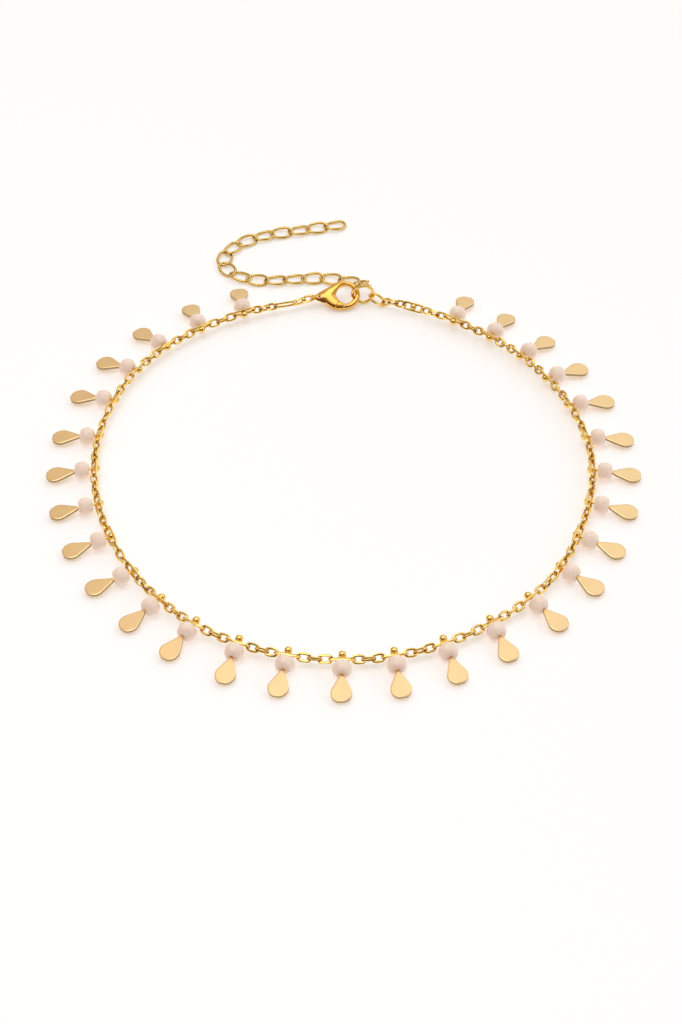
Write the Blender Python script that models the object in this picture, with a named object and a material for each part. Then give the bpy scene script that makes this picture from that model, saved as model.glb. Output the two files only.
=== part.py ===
"""Anklet: a closed chain with twenty-nine bead drops, a sprung clasp and an extender chain.

All sizes are in millimetres and the finished meshes are scaled to metres. +Z is up and the floor is z = 0.
"""
import math

import bmesh
import bpy
from mathutils import Matrix, Vector

# Scale and fits
MM = 0.001
FIT_GAP = 0.06
WIRE_BITE = 0.04
SHARP_ANGLE = 38.0

# Loop
DROP_PITCH = 7.71
BACK_SPAN = 37.2
START_ANGLE = 113.0
CHAIN_WIDTH = 1.0
CHAIN_SAG = 0.15
STEPS_PER_PITCH = 2
TUBE_RESOLUTION = 2

# Drops
BALL_DIAMETER = 1.25
BALL_REACH = 2.28
PIN_DIAMETER = 0.45
PIN_SLOPE = 8.0
BEAD_DIAMETER = 3.0
BEAD_LENGTH = 2.26
BEAD_SIDES = 10
BEAD_BELT_SHARE = 0.19
BEAD_END_SHARE = 0.34
SEAT_SIDES = 6
PADDLE_LENGTH = 4.6
PADDLE_WIDTH = 3.1
PADDLE_NECK = 0.86
PADDLE_THICKNESS = 0.5
EYE_WALL = 0.42

# Clasp
HOOK_RADIUS = 2.5
HOOK_HOLE_RADIUS = 1.77
TAIL_DISTANCE = 4.25
TAIL_RADIUS = 0.65
TAIL_HOLE_RADIUS = 0.36
TAIL_THICKNESS = 0.8
CLASP_THICKNESS = 1.6
HOOK_THICKNESS = 1.1
LEVER_THICKNESS = 0.66
PIVOT_DISTANCE = 3.15
PIVOT_DIAMETER = 0.4
CLASP_TILT = 30.0
CLASP_TURN = 5.0
LEVER_HEAD = 0.42
GATE_REACH = 3.6

# Rings
END_RING_DIAMETER = 4.1
END_RING_WIRE = 0.55
TAIL_RING_DIAMETER = 1.9
TAIL_RING_WIRE = 0.36

# Extender
EXTENDER_PITCH = 3.2
EXTENDER_WIDTH = 2.9
EXTENDER_WIRE = 0.42
EXTENDER_LINKS = 17
EXTENDER_TWIST = 42.0
EXTENDER_LEANS = [105, 75, 40, 12, -6, 6]
LINK_POINTS = 10

# The loop's outline: angle in degrees, radius as a share of the mean radius
LOOP_SHARES = [
    (0, 0.975), (20, 0.965), (40, 0.965), (60, 0.975), (80, 1.010), (100, 1.008),
    (120, 1.015), (140, 1.020), (160, 0.995), (180, 0.975), (200, 0.970), (220, 0.985),
    (240, 1.010), (260, 1.025), (280, 1.030), (300, 1.015), (320, 1.005), (340, 0.980),
]

# Each drop: shift along the chain as a share of the pitch, swing in degrees,
# slide of the bead as a share of its length
DROPS = [
    (0.00, -13, 0.10), (0.05, -15, 0.05), (0.00, 0, 0.00), (-0.05, 5, 0.00), (0.00, 2, -0.04),
    (0.15, 1, -0.04), (0.15, 1, 0.00), (0.20, -4, 0.00), (0.20, -2, -0.04), (0.30, -9, 0.00),
    (0.25, 1, 0.00), (0.20, 2, 0.04), (0.20, 8, 0.06), (0.20, 1, 0.08), (0.25, 0, 0.10),
    (0.25, -3, 0.10), (0.25, -7, 0.08), (0.30, -12, 0.06), (0.30, -3, 0.00), (0.35, -6, -0.04),
    (0.30, -5, 0.00), (0.30, -2, -0.04), (0.25, -2, -0.04), (0.25, -10, -0.04), (0.30, -8, 0.00),
    (0.25, -3, 0.00), (0.15, 4, 0.00), (0.05, 12, 0.00), (0.00, 13, 0.04),
]

# The extender's route from behind the end ring to its free end, in extender pitches from the loop's centre
EXTENDER_ROUTE = [
    (1.15, 14.15, 0.62), (-0.55, 14.72, 0.34), (-2.30, 14.85, 0.22),
    (-3.85, 14.80, 0.213), (-5.00, 15.08, 0.213), (-5.85, 15.65, 0.213), (-6.20, 16.50, 0.213),
    (-5.80, 17.60, 0.213), (-4.85, 18.35, 0.213), (-3.50, 18.85, 0.213), (-2.00, 19.10, 0.213),
    (-0.60, 19.38, 0.213), (1.00, 19.62, 0.213),
]

for old in list(bpy.data.objects):
    bpy.data.objects.remove(old, do_unlink=True)


def make_material(name, colour, metallic, roughness):
    """A Principled material."""
    material = bpy.data.materials.new(name)
    material.use_nodes = True
    shader = material.node_tree.nodes["Principled BSDF"]
    shader.inputs["Base Color"].default_value = colour
    shader.inputs["Metallic"].default_value = metallic
    shader.inputs["Roughness"].default_value = roughness
    return material


GOLD = make_material("gold_plated_brass", (0.83, 0.58, 0.22, 1.0), 1.0, 0.22)
BLUSH = make_material("blush_bead", (0.86, 0.66, 0.60, 1.0), 0.0, 0.35)


def add_object(name, mesh, material):
    """Link a mesh as a named object with one material."""
    mesh.materials.clear()
    if material is not None:
        mesh.materials.append(material)
    item = bpy.data.objects.new(name, mesh)
    bpy.context.scene.collection.objects.link(item)
    return item


def mesh_object(name, shape, material=None):
    """Turn a bmesh into a named object."""
    bmesh.ops.recalc_face_normals(shape, faces=shape.faces)
    mesh = bpy.data.meshes.new(name)
    shape.to_mesh(mesh)
    shape.free()
    return add_object(name, mesh, material)


def baked(item):
    """The object's mesh with its modifiers or its bevel worked in."""
    bpy.context.view_layer.update()
    graph = bpy.context.evaluated_depsgraph_get()
    return bpy.data.meshes.new_from_object(item.evaluated_get(graph))


def combine(base, tool, operation):
    """Join, cut or keep with the exact solver. The tool is used up."""
    modifier = base.modifiers.new("combine", "BOOLEAN")
    modifier.operation = operation
    modifier.solver = "EXACT"
    modifier.object = tool
    mesh = baked(base)
    base.modifiers.clear()
    base.data = mesh
    bpy.data.objects.remove(tool, do_unlink=True)
    return base


def place(item, matrix):
    """Move an object's mesh, so that the object itself stays at the origin."""
    item.data.transform(matrix)
    return item


# Shapes

def plate(name, outline, low, high):
    """A flat outline raised from one height to another."""
    shape = bmesh.new()
    ring = [shape.verts.new((x, y, low)) for x, y in outline]
    face = shape.faces.new(ring)
    raised = bmesh.ops.extrude_face_region(shape, geom=[face])
    tops = [part for part in raised["geom"] if isinstance(part, bmesh.types.BMVert)]
    bmesh.ops.translate(shape, verts=tops, vec=(0, 0, high - low))
    return mesh_object(name, shape)


def rim_bevel(item, low, high, width):
    """Round the edges that lie in a plate's lower and upper plane."""
    shape = bmesh.new()
    shape.from_mesh(item.data)
    rims = [
        edge for edge in shape.edges
        if abs(edge.verts[0].co.z - edge.verts[1].co.z) < width * 0.1
        and min(abs(edge.verts[0].co.z - low), abs(edge.verts[0].co.z - high)) < width * 0.1
        and len(edge.link_faces) == 2 and edge.calc_face_angle(0.0) > 0.5
    ]
    bmesh.ops.bevel(shape, geom=rims, offset=width, segments=1, profile=0.5, affect="EDGES", material=-1)
    shape.to_mesh(item.data)
    shape.free()
    return item


def teardrop(big, small, distance, big_steps, small_steps):
    """Outline of a large circle at the origin drawn out to a small one on the -X side."""
    contact = math.acos((small - big) / distance)
    points = []
    for k in range(big_steps + 1):
        angle = -contact + 2 * contact * k / big_steps
        points.append((big * math.cos(angle), big * math.sin(angle)))
    for k in range(small_steps + 1):
        angle = contact + 2 * (math.pi - contact) * k / small_steps
        points.append((-distance + small * math.cos(angle), small * math.sin(angle)))
    return points


def sector(inner, outer, first, last, steps):
    """Outline of a ring's part between two angles in degrees."""
    angles = [math.radians(first + (last - first) * k / steps) for k in range(steps + 1)]
    points = [(outer * math.cos(a), outer * math.sin(a)) for a in angles]
    points += [(inner * math.cos(a), inner * math.sin(a)) for a in reversed(angles)]
    return points


def disc(centre, radius, steps):
    """Outline of a circle."""
    turns = [2 * math.pi * (k + 0.5) / steps for k in range(steps)]
    return [(centre[0] + radius * math.cos(a), centre[1] + radius * math.sin(a)) for a in turns]


def turned(name, profile, steps, start=0.0):
    """A solid turned about X from (along, radius) points that begin and end on the axis."""
    shape = bmesh.new()
    spot = Matrix.Rotation(start, 4, "X")
    verts = [shape.verts.new(spot @ Vector((along, 0, radius))) for along, radius in profile]
    edges = [shape.edges.new(pair) for pair in zip(verts, verts[1:])]
    bmesh.ops.spin(
        shape, geom=verts + edges, cent=(0, 0, 0), axis=(1, 0, 0), angle=2 * math.pi,
        steps=steps, use_merge=True,
    )
    bmesh.ops.remove_doubles(shape, verts=shape.verts, dist=1e-5)
    return mesh_object(name, shape)


def swept_loops(name, loops, wire):
    """Closed wires, each one swept along its own closed row of points."""
    curve = bpy.data.curves.new(name, "CURVE")
    curve.dimensions = "3D"
    curve.bevel_depth = wire / 2
    curve.bevel_resolution = 1
    for points in loops:
        spline = curve.splines.new("POLY")
        spline.points.add(len(points) - 1)
        for place_in_row, point in zip(spline.points, points):
            place_in_row.co = (*point, 1.0)
        spline.use_cyclic_u = True
    item = bpy.data.objects.new(name, curve)
    bpy.context.scene.collection.objects.link(item)
    mesh = baked(item)
    bpy.data.objects.remove(item, do_unlink=True)
    shape = bmesh.new()
    shape.from_mesh(mesh)
    return mesh_object(name, shape)


# The loop's route

def spline_value(a, b, c, d, u):
    """A smooth value between b and c, at the share u of the way."""
    bend = 2 * a - 5 * b + 4 * c - d
    turn = 3 * b - a - 3 * c + d
    return 0.5 * (2 * b + (c - a) * u + bend * u ** 2 + turn * u ** 3)


def loop_share(angle):
    """The loop's radius at an angle in degrees, as a share of its mean radius."""
    step = 360 / len(LOOP_SHARES)
    row = int(angle % 360 // step)
    u = angle % 360 / step - row
    a, b, c, d = (LOOP_SHARES[(row + k) % len(LOOP_SHARES)][1] for k in (-1, 0, 1, 2))
    return spline_value(a, b, c, d, u)


def unit_point(angle):
    """A point of the loop with a mean radius of one."""
    share = loop_share(angle)
    return Vector((share * math.cos(math.radians(angle)), share * math.sin(math.radians(angle))))


ROUTE_STEPS = 720
ROUTE_ANGLES = [START_ANGLE + 360 * k / ROUTE_STEPS for k in range(ROUTE_STEPS + 1)]
ROUTE_LENGTHS = [0.0]
for before, after in zip(ROUTE_ANGLES, ROUTE_ANGLES[1:]):
    ROUTE_LENGTHS.append(ROUTE_LENGTHS[-1] + (unit_point(after) - unit_point(before)).length)
LOOP_LENGTH = (len(DROPS) - 1) * DROP_PITCH + BACK_SPAN
LOOP_RADIUS = LOOP_LENGTH / ROUTE_LENGTHS[-1]


def route_angle(length):
    """The angle reached after a length of chain, counted from the first drop."""
    target = (length / LOOP_RADIUS) % ROUTE_LENGTHS[-1]
    for k in range(ROUTE_STEPS):
        if ROUTE_LENGTHS[k + 1] >= target:
            part = (target - ROUTE_LENGTHS[k]) / (ROUTE_LENGTHS[k + 1] - ROUTE_LENGTHS[k])
            return ROUTE_ANGLES[k] + part * 360 / ROUTE_STEPS
    return ROUTE_ANGLES[-1]


def route_point(length):
    """A point of the chain's middle line, seen from above."""
    return LOOP_RADIUS * unit_point(route_angle(length))


def route_outward(length):
    """The direction that points out of the loop."""
    ahead = route_point(length + 0.5) - route_point(length - 0.5)
    return Vector((ahead.y, -ahead.x)).normalized()


# Heights
BEAD_HEIGHT = BEAD_DIAMETER / 2 * math.cos(math.pi / BEAD_SIDES)
BEAD_FACE = BEAD_LENGTH / 2
EYE_FACE = BEAD_FACE + FIT_GAP
CHAIN_OFFSET = BEAD_FACE + FIT_GAP * 1.5 + CHAIN_WIDTH / 2
CHAIN_HEIGHT = BEAD_HEIGHT + CHAIN_OFFSET * math.tan(math.radians(PIN_SLOPE))


def drop_length(number):
    """Where a drop sits along the chain, counted from the first one."""
    return (number + DROPS[number][0]) * DROP_PITCH


def drop_frame(number):
    """The frame of a drop: bead's centre, +X outwards, +Z up."""
    length = drop_length(number)
    outward = route_outward(length)
    heading = math.atan2(outward.y, outward.x) + math.radians(DROPS[number][1])
    crossing = route_point(length)
    centre = crossing + CHAIN_OFFSET * Vector((math.cos(heading), math.sin(heading)))
    return Matrix.Translation((centre.x, centre.y, BEAD_HEIGHT)) @ Matrix.Rotation(heading, 4, "Z")


def pin_frame(number):
    """The frame of a drop's pin: it slopes down outwards and slides through the bead."""
    slide = DROPS[number][2] * BEAD_LENGTH
    slope = Matrix.Rotation(math.radians(PIN_SLOPE), 4, "Y")
    return drop_frame(number) @ slope @ Matrix.Translation((-slide, 0, 0))


# Drops

def make_drop(number):
    """One drop: ball, wire, bead and paddle fused into one body."""
    name = "drop_%02d" % (number + 1)
    belt = BEAD_LENGTH * BEAD_BELT_SHARE
    end_radius = BEAD_DIAMETER * BEAD_END_SHARE
    half_turn = math.pi / BEAD_SIDES
    bead_profile = [
        (-BEAD_FACE, 0), (-BEAD_FACE, end_radius), (-belt, BEAD_DIAMETER / 2),
        (belt, BEAD_DIAMETER / 2), (BEAD_FACE, end_radius), (BEAD_FACE, 0),
    ]
    bead = place(turned(name, bead_profile, BEAD_SIDES, half_turn), drop_frame(number))
    ball_turns = [math.pi * k / 4 for k in range(5)]
    ball_profile = [
        (-BALL_REACH - BALL_DIAMETER / 2 * math.cos(a), BALL_DIAMETER / 2 * math.sin(a)) for a in ball_turns
    ]
    ball_profile[0] = (ball_profile[0][0], 0)
    ball_profile[-1] = (ball_profile[-1][0], 0)
    ball = turned("ball", ball_profile, 10)
    neck = BEAD_FACE + FIT_GAP + DROPS[number][2] * BEAD_LENGTH
    wire_profile = [
        (-BALL_REACH, 0), (-BALL_REACH, PIN_DIAMETER / 2),
        (neck + PADDLE_NECK / 2, PIN_DIAMETER / 2), (neck + PADDLE_NECK / 2, 0),
    ]
    pin = combine(turned("wire", wire_profile, 6), ball, "UNION")
    big = PADDLE_WIDTH / 2
    small = PADDLE_NECK / 2
    outline = teardrop(big, small, PADDLE_LENGTH - big - small, 10, 1)
    paddle = plate("paddle", outline, -PADDLE_THICKNESS / 2, PADDLE_THICKNESS / 2)
    place(paddle, Matrix.Translation((neck + PADDLE_LENGTH - big, 0, 0)))
    pin = combine(pin, paddle, "UNION")
    place(pin, pin_frame(number))
    drop = combine(bead, pin, "UNION")
    drop.data.materials.clear()
    drop.data.materials.append(BLUSH)
    return drop


def make_seat(number):
    """Room in the chain for a drop: the bead's face, the wire's hole and the ball's seat."""
    across = 1 / math.cos(math.pi / SEAT_SIDES)
    room = BEAD_DIAMETER / 2
    hole = (PIN_DIAMETER / 2 + FIT_GAP) * across
    seat = (BALL_DIAMETER / 2 + FIT_GAP) * across
    floor = EYE_FACE + EYE_WALL
    profile = [
        (0, 0), (0, room), (-EYE_FACE, room), (-EYE_FACE, hole), (-floor, hole),
        (-floor, seat), (-floor - CHAIN_WIDTH * 2, seat), (-floor - CHAIN_WIDTH * 2, 0),
    ]
    tool = turned("seat", profile, SEAT_SIDES)
    return place(tool, drop_frame(number) @ Matrix.Rotation(math.radians(PIN_SLOPE), 4, "Y"))


# Main chain

def chain_point(length):
    """A point of the chain's middle line, high at the drops and lower between them."""
    flat = route_point(length)
    number = min(range(len(DROPS)), key=lambda k: abs(drop_length(k) - length))
    away = min(abs(drop_length(number) - length) / DROP_PITCH, 0.5)
    return Vector((flat.x, flat.y, CHAIN_HEIGHT - CHAIN_SAG * (1 - math.cos(2 * math.pi * away)) / 2))


def tube(name, points):
    """A round tube along a row of points."""
    curve = bpy.data.curves.new(name, "CURVE")
    curve.dimensions = "3D"
    curve.bevel_depth = CHAIN_WIDTH / 2
    curve.bevel_resolution = TUBE_RESOLUTION
    curve.use_fill_caps = True
    spline = curve.splines.new("POLY")
    spline.points.add(len(points) - 1)
    for place_in_row, point in zip(spline.points, points):
        place_in_row.co = (*point, 1.0)
    item = bpy.data.objects.new(name, curve)
    bpy.context.scene.collection.objects.link(item)
    mesh = baked(item)
    bpy.data.objects.remove(item, do_unlink=True)
    shape = bmesh.new()
    shape.from_mesh(mesh)
    bmesh.ops.remove_doubles(shape, verts=shape.verts, dist=1e-5)
    return mesh_object(name, shape)


def oval(start, end, width, wire, lean, twist=0.0):
    """Points of an oval link whose bends hook at two points, leant about the line between them."""
    reach = (end - start).length / 2 + wire / 2
    along = (end - start).normalized()
    side = Vector((0, 0, 1)).cross(along).normalized()
    up = along.cross(side)
    middle = (start + end) / 2
    points = []
    for k in range(LINK_POINTS):
        turn = 2 * math.pi * k / LINK_POINTS
        x = reach * math.copysign(abs(math.cos(turn)) ** 0.8, math.cos(turn))
        y = (width - wire) / 2 * math.sin(turn)
        angle = math.radians(lean + twist * x / reach)
        points.append(middle + along * x + side * y * math.cos(angle) + up * y * math.sin(angle))
    return points


def make_main_chain(name, first, last, drops, link_at, link_lean):
    """One half of the chain as a tube with an eye for every drop and a real link at its outer end."""
    count = max(2, round((last - first) / DROP_PITCH * STEPS_PER_PITCH))
    points = [chain_point(first + (last - first) * k / count) for k in range(count + 1)]
    chain = tube(name, points)
    seats = [make_seat(k) for k in drops]
    for seat in seats:
        chain = combine(chain, seat, "DIFFERENCE")
    root = min(points[0], points[-1], key=lambda point: (point - link_at).length)
    link_row = oval(root, link_at, LAST_LINK_WIDTH, LAST_LINK_WIRE, link_lean)
    end_link = swept_loops("end_link", [link_row], LAST_LINK_WIRE)
    chain = combine(chain, end_link, "UNION")
    chain.data.materials.clear()
    chain.data.materials.append(GOLD)
    return chain


LAST_LINK_WIDTH = CHAIN_WIDTH * 2.1
LAST_LINK_WIRE = CHAIN_WIDTH * 0.42

# Clasp frame
CLASP_CENTRE_X = 1.0
CLASP_CENTRE_Y = LOOP_RADIUS * loop_share(90) + 0.6
CLASP_LOW = HOOK_RADIUS * math.sin(math.radians(CLASP_TILT)) \
    + HOOK_THICKNESS / 2 * math.cos(math.radians(CLASP_TILT)) + FIT_GAP
CLASP_FRAME = Matrix.Translation((CLASP_CENTRE_X, CLASP_CENTRE_Y, CLASP_LOW)) \
    @ Matrix.Rotation(math.radians(CLASP_TURN), 4, "Z") \
    @ Matrix.Rotation(math.radians(CLASP_TILT), 4, "X")


def make_clasp_body():
    """The clasp's hook, hollow back and tail eye."""
    half = CLASP_THICKNESS / 2
    outline = teardrop(HOOK_RADIUS, TAIL_RADIUS, TAIL_DISTANCE, 24, 6)
    body = plate("clasp_body", outline, -half, half)
    rim_bevel(body, -half, half, CLASP_THICKNESS * 0.2)
    hole = plate("hole", disc((0, 0), HOOK_HOLE_RADIUS, 24), -CLASP_THICKNESS, CLASP_THICKNESS)
    combine(body, hole, "DIFFERENCE")
    for low, high in ((-CLASP_THICKNESS, -TAIL_THICKNESS / 2), (TAIL_THICKNESS / 2, CLASP_THICKNESS)):
        edge = -TAIL_DISTANCE + TAIL_RADIUS
        far = -TAIL_DISTANCE - 2 * TAIL_RADIUS
        step = plate("step", [(far, -2), (edge, -2), (edge, 2), (far, 2)], low, high)
        combine(body, step, "DIFFERENCE")
    for low, high in ((-CLASP_THICKNESS, -HOOK_THICKNESS / 2), (HOOK_THICKNESS / 2, CLASP_THICKNESS)):
        wide = HOOK_RADIUS * 2
        left_low = -HOOK_HOLE_RADIUS * 0.3
        left_high = HOOK_HOLE_RADIUS * 0.5
        corners = [(left_low, -wide), (wide, -wide), (wide, wide), (left_high, wide)]
        step = plate("step", corners, low, high)
        combine(body, step, "DIFFERENCE")
    eye = plate("eye", disc((-TAIL_DISTANCE, 0), TAIL_HOLE_RADIUS, 12), -CLASP_THICKNESS, CLASP_THICKNESS)
    combine(body, eye, "DIFFERENCE")
    gate_outline = sector(HOOK_HOLE_RADIUS * 0.8, HOOK_RADIUS * 1.3, -128, -72, 8)
    gate = plate("gate_room", gate_outline, -CLASP_THICKNESS, CLASP_THICKNESS)
    swing = plate("swing", disc(PIVOT, GATE_REACH, 48), -CLASP_THICKNESS * 2, CLASP_THICKNESS * 2)
    combine(gate, swing, "INTERSECT")
    combine(body, gate, "DIFFERENCE")
    room = LEVER_THICKNESS / 2 + FIT_GAP
    pocket_back = -PIVOT_DISTANCE - LEVER_HEAD - FIT_GAP
    pocket_front = -HOOK_HOLE_RADIUS * 0.5
    pocket_outline = [
        (pocket_back, -HOOK_RADIUS * 1.2), (pocket_front, -HOOK_RADIUS * 1.2),
        (pocket_front, HOOK_RADIUS * 0.2), (pocket_back, HOOK_RADIUS * 0.16),
    ]
    pocket = plate("pocket", pocket_outline, -room, room)
    combine(body, pocket, "DIFFERENCE")
    pin = plate("pivot", disc(PIVOT, PIVOT_DIAMETER / 2, 10), -half * 0.9, half * 0.9)
    combine(body, pin, "UNION")
    body.data.materials.clear()
    body.data.materials.append(GOLD)
    return place(body, CLASP_FRAME)


PIVOT = (-PIVOT_DISTANCE, -HOOK_RADIUS * 0.14)


def make_clasp_lever():
    """The sprung lever: an arm from the pivot to the gate that closes the hook."""
    half = LEVER_THICKNESS / 2
    arm_outline = sector(HOOK_HOLE_RADIUS + FIT_GAP, HOOK_RADIUS * 0.97, -152, -80, 9)
    lever = plate("clasp_lever", arm_outline, -half, half)
    bar_end = math.radians(-146)
    inner = (HOOK_HOLE_RADIUS + FIT_GAP) * 1.02
    bar = [
        (PIVOT[0] + LEVER_HEAD * 0.2, PIVOT[1] + LEVER_HEAD * 0.9),
        (PIVOT[0] - LEVER_HEAD * 0.5, PIVOT[1] - LEVER_HEAD * 0.7),
        (HOOK_RADIUS * 0.93 * math.cos(bar_end), HOOK_RADIUS * 0.93 * math.sin(bar_end)),
        (inner * math.cos(bar_end), inner * math.sin(bar_end)),
    ]
    combine(lever, plate("bar", bar, -half, half), "UNION")
    combine(lever, plate("head", disc(PIVOT, LEVER_HEAD, 12), -half, half), "UNION")
    thick = HOOK_THICKNESS / 2
    gate_outline = sector(HOOK_HOLE_RADIUS + FIT_GAP, HOOK_RADIUS * 0.97, -125, -80, 6)
    combine(lever, plate("gate", gate_outline, -thick, thick), "UNION")
    swing = plate("swing", disc(PIVOT, GATE_REACH - FIT_GAP, 48), -CLASP_THICKNESS, CLASP_THICKNESS)
    combine(lever, swing, "INTERSECT")
    bore = plate("bore", disc(PIVOT, PIVOT_DIAMETER / 2 + FIT_GAP, 12), -CLASP_THICKNESS, CLASP_THICKNESS)
    combine(lever, bore, "DIFFERENCE")
    lever.data.materials.clear()
    lever.data.materials.append(GOLD)
    return place(lever, CLASP_FRAME)


# Rings

def circle_points(centre, radius, first, second, steps):
    """Points of a circle in the plane of two directions."""
    turns = [2 * math.pi * k / steps for k in range(steps)]
    return [centre + radius * (math.cos(a) * first + math.sin(a) * second) for a in turns]


def make_ring(name, centre, diameter, wire, first, second, steps):
    """A closed ring of round wire."""
    ring = swept_loops(name, [circle_points(centre, (diameter - wire) / 2, first, second, steps)], wire)
    ring.data.materials.append(GOLD)
    return ring


END_RING_CENTRE = Vector((
    CLASP_CENTRE_X + HOOK_HOLE_RADIUS + END_RING_DIAMETER / 2 - END_RING_WIRE - FIT_GAP * 8,
    CLASP_CENTRE_Y + FIT_GAP, END_RING_DIAMETER / 2,
))
TAIL_EYE = CLASP_FRAME @ Vector((-TAIL_DISTANCE, 0, 0))
TAIL_RING_REACH = (TAIL_RING_DIAMETER - TAIL_RING_WIRE) / 2
CLASP_ALONG = (CLASP_FRAME.to_3x3() @ Vector((1, 0, 0))).normalized()
CLASP_NORMAL = (CLASP_FRAME.to_3x3() @ Vector((0, 0, 1))).normalized()
TAIL_RING_CENTRE = TAIL_EYE - CLASP_ALONG * TAIL_RING_REACH * 0.9


# Extender

def smooth_route(rows):
    """Many points of a smooth curve through a few chosen ones."""
    knots = [2 * rows[0] - rows[1]] + rows + [2 * rows[-1] - rows[-2]]
    points = []
    for k in range(1, len(knots) - 2):
        a, b, c, d = knots[k - 1:k + 3]
        for step in range(12):
            u = step / 12
            points.append(spline_value(a, b, c, d, u))
    points.append(knots[-2])
    return points


def joint_points(points, pitch, count):
    """Points one pitch apart in a straight line, along a row of points."""
    joints = [points[0]]
    here = 1
    while len(joints) < count:
        while here < len(points) and (points[here] - joints[-1]).length < pitch:
            here += 1
        if here >= len(points):
            joints.append(joints[-1] + (points[-1] - points[-2]).normalized() * pitch)
            continue
        low, high = points[here - 1], points[here]
        for _ in range(30):
            middle = (low + high) / 2
            if (middle - joints[-1]).length < pitch:
                low = middle
            else:
                high = middle
        joints.append((low + high) / 2)
    return joints


def make_extender():
    """The extender's twisted links, pressed together where they hook."""
    rows = [Vector(row) * EXTENDER_PITCH for row in EXTENDER_ROUTE]
    top = END_RING_CENTRE + Vector((0, 0, (END_RING_DIAMETER - END_RING_WIRE) / 2))
    hooked = top - (rows[0] - top).normalized() * (END_RING_WIRE / 2 + FIT_GAP)
    route = smooth_route([hooked] + rows)
    joints = joint_points(route, EXTENDER_PITCH, EXTENDER_LINKS + 1)
    hook = EXTENDER_WIRE / 2 - WIRE_BITE
    rows = []
    for k in range(EXTENDER_LINKS):
        along = (joints[k + 1] - joints[k]).normalized()
        start = joints[k] - along * (hook - EXTENDER_WIRE / 2)
        end = joints[k + 1] + along * (hook - EXTENDER_WIRE / 2)
        lean = EXTENDER_LEANS[k] if k < len(EXTENDER_LEANS) else EXTENDER_LEANS[-1 - k % 2]
        rows.append(oval(start, end, EXTENDER_WIDTH, EXTENDER_WIRE, lean, EXTENDER_TWIST))
    chain = swept_loops("extender_chain", rows[0::2], EXTENDER_WIRE)
    combine(chain, swept_loops("even_links", rows[1::2], EXTENDER_WIRE), "UNION")
    chain.data.materials.clear()
    chain.data.materials.append(GOLD)
    return chain


# Build

middle_length = (drop_length(14) + drop_length(15)) / 2
left_end = drop_length(0) - DROP_PITCH * 1.2
right_end = drop_length(28) + DROP_PITCH * 1.72
left_hook = TAIL_RING_CENTRE - CLASP_ALONG * (TAIL_RING_REACH - TAIL_RING_WIRE / 2 - LAST_LINK_WIRE / 2)
right_wire = END_RING_CENTRE + Vector(((END_RING_DIAMETER - END_RING_WIRE) / 2, 0, 0))
right_pull = (right_wire - chain_point(right_end)).normalized()
right_hook = right_wire + right_pull * (END_RING_WIRE / 2 + FIT_GAP * 2)

pieces = [make_drop(k) for k in range(len(DROPS))]
pieces.append(make_main_chain(
    "main_chain_left", left_end, middle_length - FIT_GAP, range(0, 15), left_hook, CLASP_TILT,
))
pieces.append(make_main_chain(
    "main_chain_right", middle_length + FIT_GAP, right_end, range(15, 29), right_hook, 0,
))
pieces.append(make_clasp_body())
pieces.append(make_clasp_lever())
pieces.append(make_ring(
    "clasp_ring", TAIL_RING_CENTRE, TAIL_RING_DIAMETER, TAIL_RING_WIRE, CLASP_ALONG, CLASP_NORMAL, 12,
))
pieces.append(make_ring(
    "end_ring", END_RING_CENTRE, END_RING_DIAMETER, END_RING_WIRE, Vector((1, 0, 0)), Vector((0, 0, 1)), 14,
))
pieces.append(make_extender())

# The middle of the whole object's footprint becomes the origin
corners = [vertex.co for piece in pieces for vertex in piece.data.vertices]
lows = [min(corner[axis] for corner in corners) for axis in range(3)]
highs = [max(corner[axis] for corner in corners) for axis in range(3)]
shift = Matrix.Translation((-(lows[0] + highs[0]) / 2, -(lows[1] + highs[1]) / 2, -lows[2]))
for piece in pieces:
    place(piece, Matrix.Scale(MM, 4) @ shift)
    piece.data.shade_smooth()
    piece.data.set_sharp_from_angle(angle=math.radians(SHARP_ANGLE))
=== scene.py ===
"""Looks of the anklet: linked chain, blush beads, teardrop paddles, sprung clasp and twisted extender.

Sizes inside the functions are in millimetres. Finished meshes are in metres and stand in the frame's place.
"""
import math

import bmesh
import bpy
from mathutils import Matrix, Vector


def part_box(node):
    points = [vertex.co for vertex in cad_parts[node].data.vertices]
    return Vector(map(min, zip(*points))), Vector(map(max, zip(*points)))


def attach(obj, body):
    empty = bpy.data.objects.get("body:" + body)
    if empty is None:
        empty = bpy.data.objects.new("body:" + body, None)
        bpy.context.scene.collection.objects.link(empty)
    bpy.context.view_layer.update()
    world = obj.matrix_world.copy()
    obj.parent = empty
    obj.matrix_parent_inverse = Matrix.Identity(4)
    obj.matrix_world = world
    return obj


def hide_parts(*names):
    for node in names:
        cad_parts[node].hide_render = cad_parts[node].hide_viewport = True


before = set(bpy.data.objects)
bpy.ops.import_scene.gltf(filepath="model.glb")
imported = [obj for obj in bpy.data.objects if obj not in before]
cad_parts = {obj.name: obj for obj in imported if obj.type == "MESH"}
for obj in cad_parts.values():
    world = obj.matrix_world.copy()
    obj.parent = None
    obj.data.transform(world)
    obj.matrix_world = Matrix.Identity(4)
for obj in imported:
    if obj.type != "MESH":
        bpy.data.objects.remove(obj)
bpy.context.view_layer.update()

bl_info = {
    "name": "Anklet with bead drops",
    "version": (1, 0, 0),
    "blender": (4, 5, 0),
    "location": "3D View > Sidebar > Anklet",
    "description": "Builds the anklet's pieces and their finishes around its frame",
    "category": "Object",
}

MM = 0.001

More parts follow.
